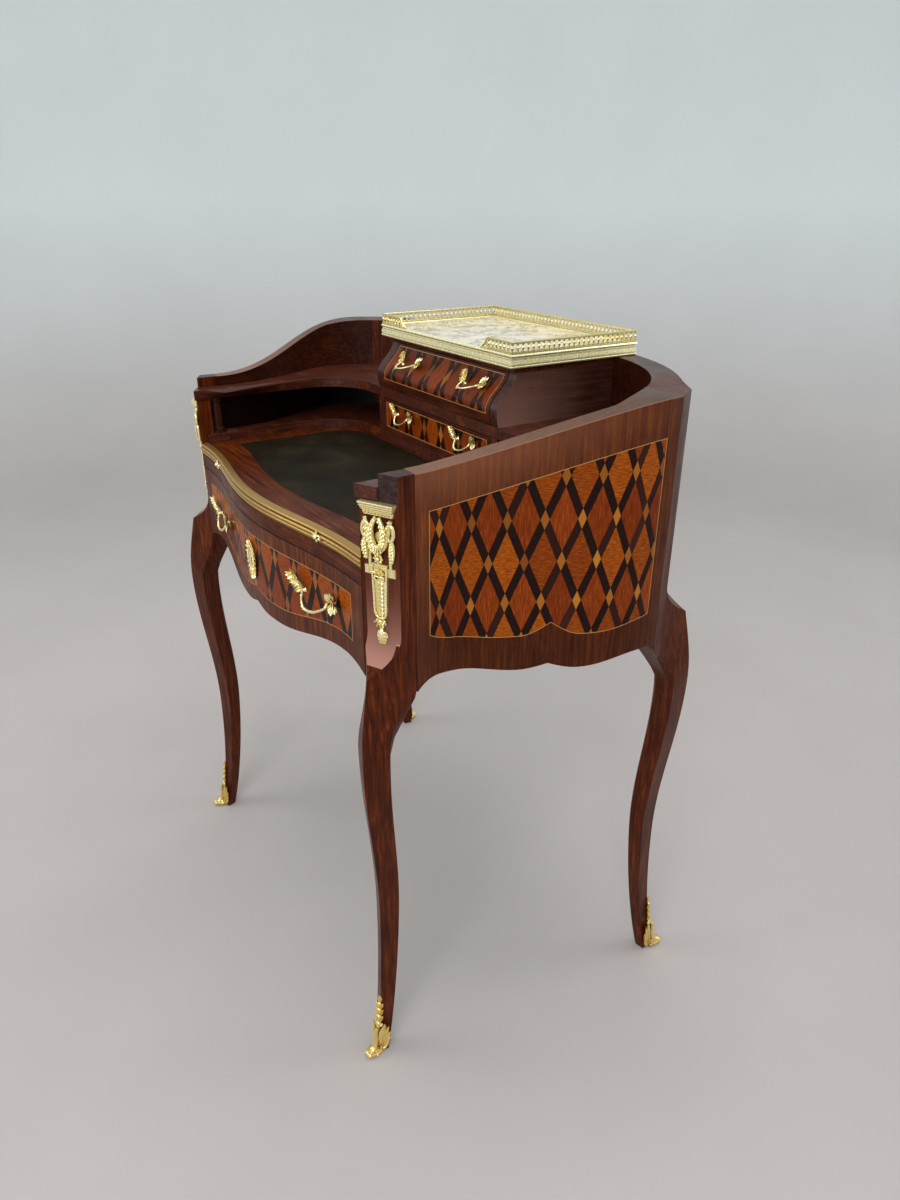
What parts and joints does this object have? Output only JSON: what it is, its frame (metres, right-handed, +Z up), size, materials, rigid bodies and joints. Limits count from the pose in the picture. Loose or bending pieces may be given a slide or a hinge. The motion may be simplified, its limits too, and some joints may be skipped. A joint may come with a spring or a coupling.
{
  "type": "ladys writing desk",
  "caption": "Tub-shaped lady's writing desk on cabriole legs with trellis parquetry, frieze drawer, small marble-topped case of drawers with a gallery, and brass mounts.",
  "frame": {"origin": "centre of the footprint on the floor", "axes": "+Z up, -Y towards the writer, +X to the writer's right, when facing the desk from the front"},
  "size_m": [0.8334, 0.5696, 0.95],
  "materials": {
    "mahogany": "polished dark red-brown veneer",
    "veneer": "polished trellis parquetry of orange-brown lozenges and dark bands",
    "drawer_wood": "plain waxed wood",
    "brass": "chased and polished, lightly aged",
    "leather": "dark green-black, smooth",
    "marble": "polished, grey veined"
  },
  "bodies": {
    "carcass": {"leg_front_left": "mahogany", "leg_front_right": "mahogany", "leg_back_left": "mahogany", "leg_back_right": "mahogany", "side_panel_left": "veneer", "side_panel_right": "veneer", "back_panel": "mahogany", "front_rail": "mahogany", "writing_top": "mahogany", "leather_inset": "leather", "edge_moulding": "brass", "edge_clasps": "brass", "frieze_runners": "drawer_wood", "pigeonhole_floor_left": "mahogany", "pigeonhole_floor_right": "mahogany", "shelf": "mahogany", "column_left": "mahogany", "column_right": "mahogany", "divider_left": "drawer_wood", "divider_right": "drawer_wood", "case_floor": "drawer_wood", "case_side_left": "mahogany", "case_side_right": "mahogany", "case_top": "mahogany", "marble_slab": "marble", "marble_band": "brass", "gallery_rails": "brass", "gallery_balusters": "brass", "chute_left": "brass", "chute_right": "brass", "sabot_front_left": "brass", "sabot_front_right": "brass", "sabot_back_left": "brass", "sabot_back_right": "brass"},
    "frieze_drawer": {"frieze_front": "veneer", "frieze_side_left": "drawer_wood", "frieze_side_right": "drawer_wood", "frieze_back": "drawer_wood", "frieze_bottom": "drawer_wood", "frieze_handle_left": "brass", "frieze_handle_right": "brass", "keyhole_plate": "brass", "lock_case": "brass"},
    "lock_bolt": {"lock_bolt": "brass"},
    "lower_drawer": {"lower_front": "veneer", "lower_side_left": "drawer_wood", "lower_side_right": "drawer_wood", "lower_back": "drawer_wood", "lower_bottom": "drawer_wood", "lower_handle_left": "brass", "lower_handle_right": "brass"},
    "upper_drawer": {"upper_front": "veneer", "upper_side_left": "drawer_wood", "upper_side_right": "drawer_wood", "upper_back": "drawer_wood", "upper_bottom": "drawer_wood", "upper_handle_left": "brass", "upper_handle_right": "brass"}
  },
  "joints": [
    {"name": "frieze_drawer_slide", "type": "slide", "parent": "carcass", "child": "frieze_drawer", "axis": [0, -1, 0], "range_m": [0, 0.27]},
    {"name": "lock_bolt_slide", "type": "slide", "parent": "frieze_drawer", "child": "lock_bolt", "axis": [0, 0, 1], "range_m": [0, 0.006]},
    {"name": "lower_drawer_slide", "type": "slide", "parent": "carcass", "child": "lower_drawer", "axis": [0, -1, 0], "range_m": [0, 0.14]},
    {"name": "upper_drawer_slide", "type": "slide", "parent": "carcass", "child": "upper_drawer", "axis": [0, -1, 0], "range_m": [0, 0.13]}
  ]
}
